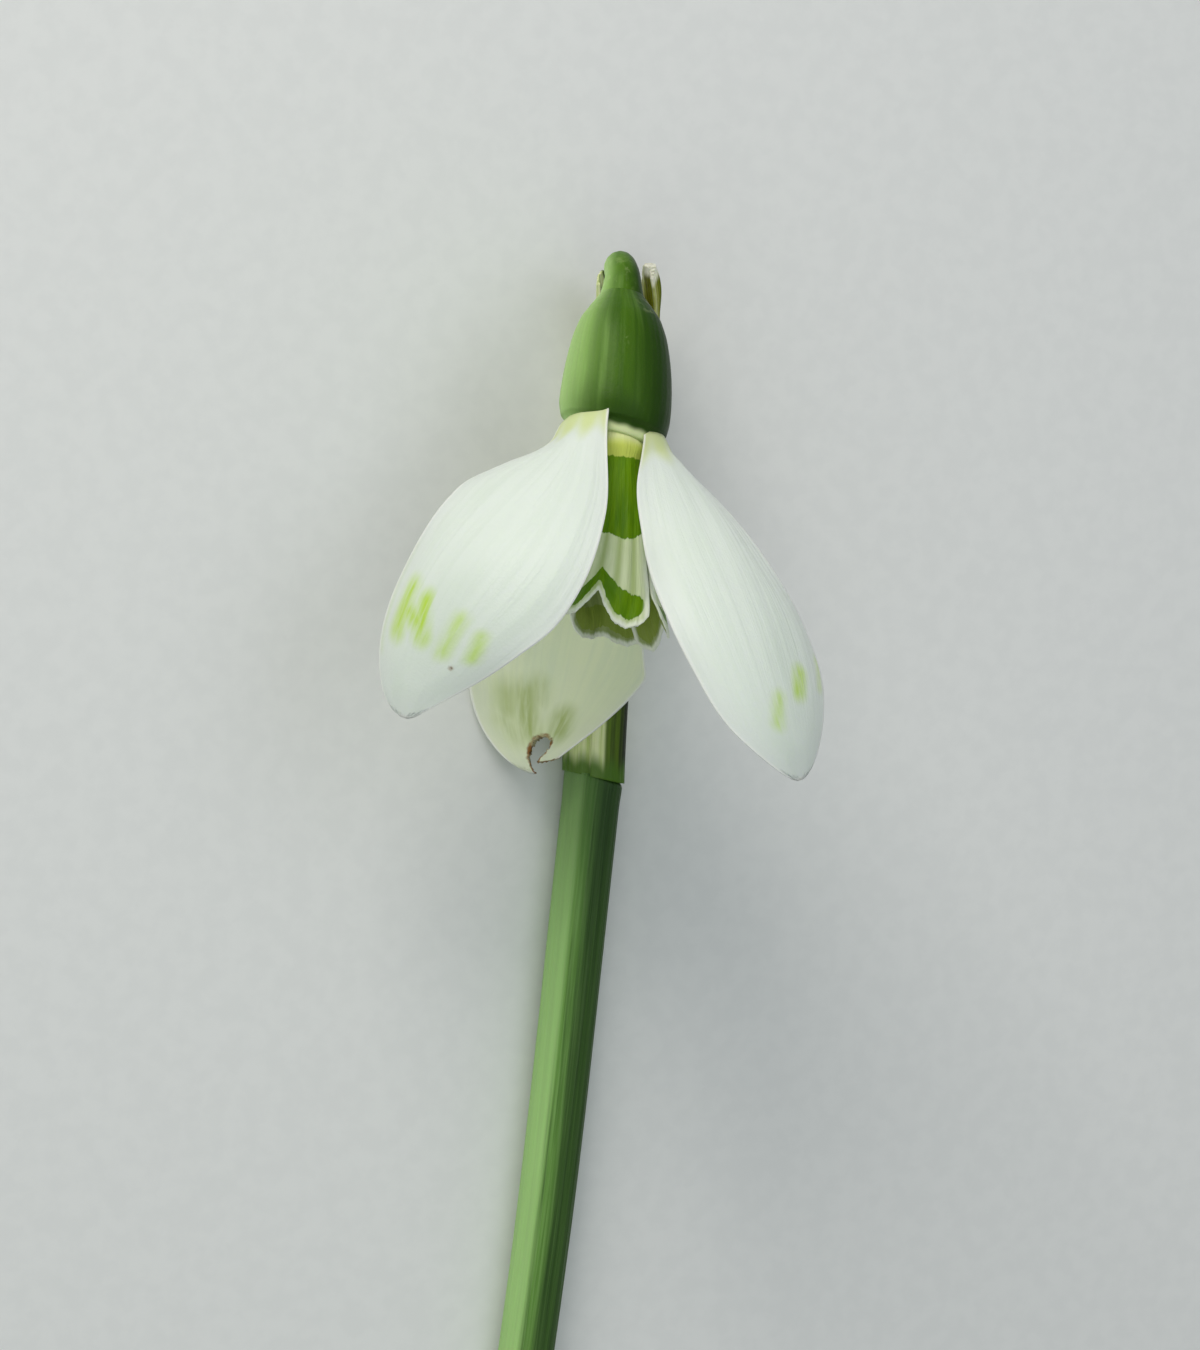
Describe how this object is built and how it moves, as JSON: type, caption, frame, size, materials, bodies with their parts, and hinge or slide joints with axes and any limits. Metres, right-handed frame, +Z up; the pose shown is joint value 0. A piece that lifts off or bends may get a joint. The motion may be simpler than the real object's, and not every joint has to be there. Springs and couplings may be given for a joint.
{
  "type": "snowdrop flower",
  "caption": "Picked snowdrop flower lying on its side: nodding white petals with green marks, green ovary, papery sheath and a cut flattened stem.",
  "frame": {"origin": "centre of the flower's footprint on the surface it lies on, at the height of that surface", "axes": "+Y along the stem from its cut end to the ovary, +Z up from the surface, +X to the right of someone looking down with the ovary away from them"},
  "size_m": [0.024, 0.0918, 0.0264],
  "materials": {
    "petal_white": "soft satin, faint lengthwise veins",
    "petal_marked": "soft satin, white with green marks",
    "ovary_green": "waxy satin",
    "stem_green": "waxy satin with a grey bloom",
    "sheath_green": "papery satin, green keels",
    "anther_orange": "powdery matte",
    "style_pale": "soft satin"
  },
  "bodies": {
    "root": {"scape": "stem_green", "spathe": "sheath_green", "pedicel": "ovary_green", "ovary": "ovary_green", "outer_tepal_left": "petal_white", "outer_tepal_right": "petal_white", "outer_tepal_back": "petal_white", "inner_tepal_front": "petal_marked", "inner_tepal_left": "petal_marked", "inner_tepal_right": "petal_marked", "stamen_1": "anther_orange", "stamen_2": "anther_orange", "stamen_3": "anther_orange", "stamen_4": "anther_orange", "stamen_5": "anther_orange", "stamen_6": "anther_orange", "style": "style_pale"}
  },
  "joints": []
}
